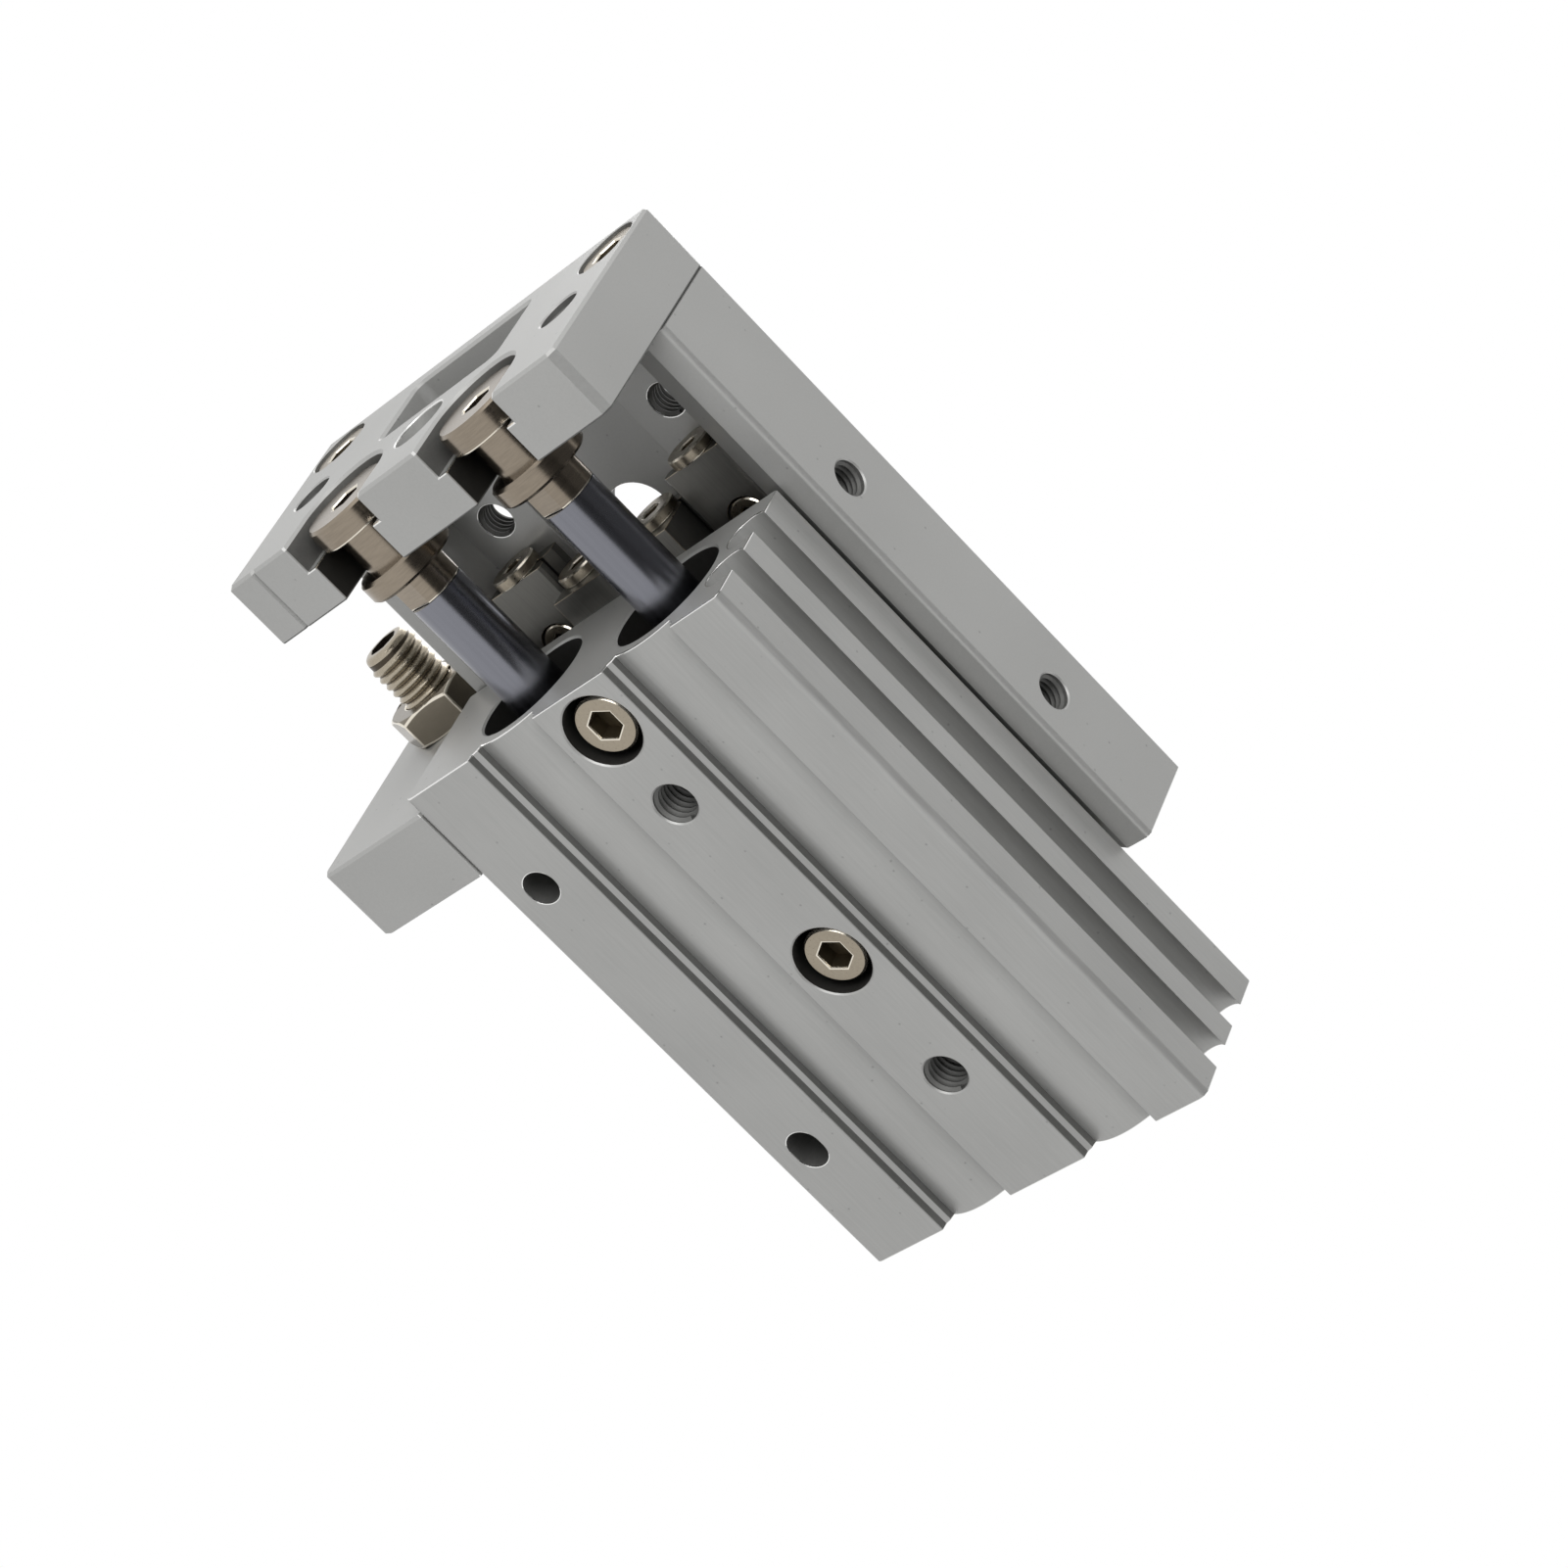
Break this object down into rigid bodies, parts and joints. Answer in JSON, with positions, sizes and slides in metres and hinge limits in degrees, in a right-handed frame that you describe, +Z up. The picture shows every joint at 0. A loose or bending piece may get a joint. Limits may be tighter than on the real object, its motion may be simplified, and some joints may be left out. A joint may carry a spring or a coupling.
{
  "type": "pneumatic slide table",
  "caption": "Compact air slide table: twin-rod cylinder body, crossed-roller guide, moving table with slotted end plate and a side stroke adjuster.",
  "frame": {"origin": "on the mounting face, midway between the two M6 mounting threads, on the plane midway between the cylinder bores", "axes": "+X along the stroke towards the end plate, +Y towards the switch-groove side, +Z up from the mounting face to the table top"},
  "size_m": [0.1235, 0.0844, 0.0382],
  "materials": {
    "anodised_body": "matte anodised extrusion",
    "anodised_table": "matte anodised, milled edges",
    "anodised_plate": "matte anodised, chamfered edges",
    "anodised_bracket": "matte anodised",
    "anodised_stop": "matte anodised",
    "guide_steel": "ground hardened steel",
    "plated_screws": "nickel plated",
    "black_steel": "rolled thread, plated",
    "nut_steel": "plated",
    "urethane": "moulded",
    "cage_resin": "moulded",
    "roller_steel": "ground",
    "rod_chrome": "hard chrome, polished",
    "rod_end_steel": "nickel plated",
    "piston_alloy": "turned",
    "magnet_plastic": "bonded magnet",
    "seal_rubber": "moulded nitrile",
    "cover_alloy": "turned, anodised",
    "ring_steel": "phosphated spring steel"
  },
  "bodies": {
    "base": {"body": "anodised_body", "guide_block": "guide_steel", "guide_block_screws": "plated_screws", "block_end_screws": "plated_screws", "adjuster_bracket": "anodised_bracket", "bracket_screws": "plated_screws", "lock_nut": "nut_steel", "rod_cover_left": "cover_alloy", "rod_seal_left": "seal_rubber", "cover_oring_left": "seal_rubber", "cover_ring_left": "ring_steel", "head_cap_left": "cover_alloy", "cap_oring_left": "seal_rubber", "cap_ring_left": "ring_steel", "rod_cover_right": "cover_alloy", "rod_seal_right": "seal_rubber", "cover_oring_right": "seal_rubber", "cover_ring_right": "ring_steel", "head_cap_right": "cover_alloy", "cap_oring_right": "seal_rubber", "cap_ring_right": "ring_steel"},
    "table_group": {"table": "anodised_table", "rail_screws": "plated_screws", "rail_end_screws": "plated_screws", "end_plate": "anodised_plate", "end_plate_screws": "plated_screws", "stop_block": "anodised_stop", "stop_block_screws": "plated_screws", "rail_left": "guide_steel", "rod_end_left": "rod_end_steel", "rod_left": "rod_chrome", "piston_left": "piston_alloy", "magnet_holder_left": "piston_alloy", "piston_magnet_left": "magnet_plastic", "piston_seal_left": "seal_rubber", "rail_right": "guide_steel", "rod_end_right": "rod_end_steel", "rod_right": "rod_chrome", "piston_right": "piston_alloy", "magnet_holder_right": "piston_alloy", "piston_magnet_right": "magnet_plastic", "piston_seal_right": "seal_rubber"},
    "cage_left": {"cage_left": "cage_resin", "rollers_left": "roller_steel"},
    "cage_right": {"cage_right": "cage_resin", "rollers_right": "roller_steel"},
    "adjuster_travel": {"adjuster_bumper": "urethane"},
    "adjuster_screw": {"adjusting_screw": "black_steel"}
  },
  "joints": [
    {"name": "table_slide", "type": "slide", "parent": "base", "child": "table_group", "axis": [1, 0, 0], "range_m": [-0.0235, 0.0065]},
    {"name": "left_cage_slide", "type": "slide", "parent": "base", "child": "cage_left", "axis": [1, 0, 0], "range_m": [-0.01175, 0.00325]},
    {"name": "right_cage_slide", "type": "slide", "parent": "base", "child": "cage_right", "axis": [1, 0, 0], "range_m": [-0.01175, 0.00325]},
    {"name": "adjuster_travel", "type": "slide", "parent": "base", "child": "adjuster_travel", "axis": [1, 0, 0], "range_m": [0, 0.005]},
    {"name": "adjuster_turn", "type": "hinge", "parent": "adjuster_travel", "child": "adjuster_screw", "pos_m": [0, -0.0418, 0.029], "axis": [1, 0, 0], "range_deg": [0, 1440]}
  ],
  "couplings": [
    {"joint": "left_cage_slide", "follows": "table_slide", "ratio": 0.5},
    {"joint": "right_cage_slide", "follows": "table_slide", "ratio": 0.5},
    {"joint": "adjuster_travel", "follows": "adjuster_turn", "m_per_rad": 0.00019893}
  ]
}
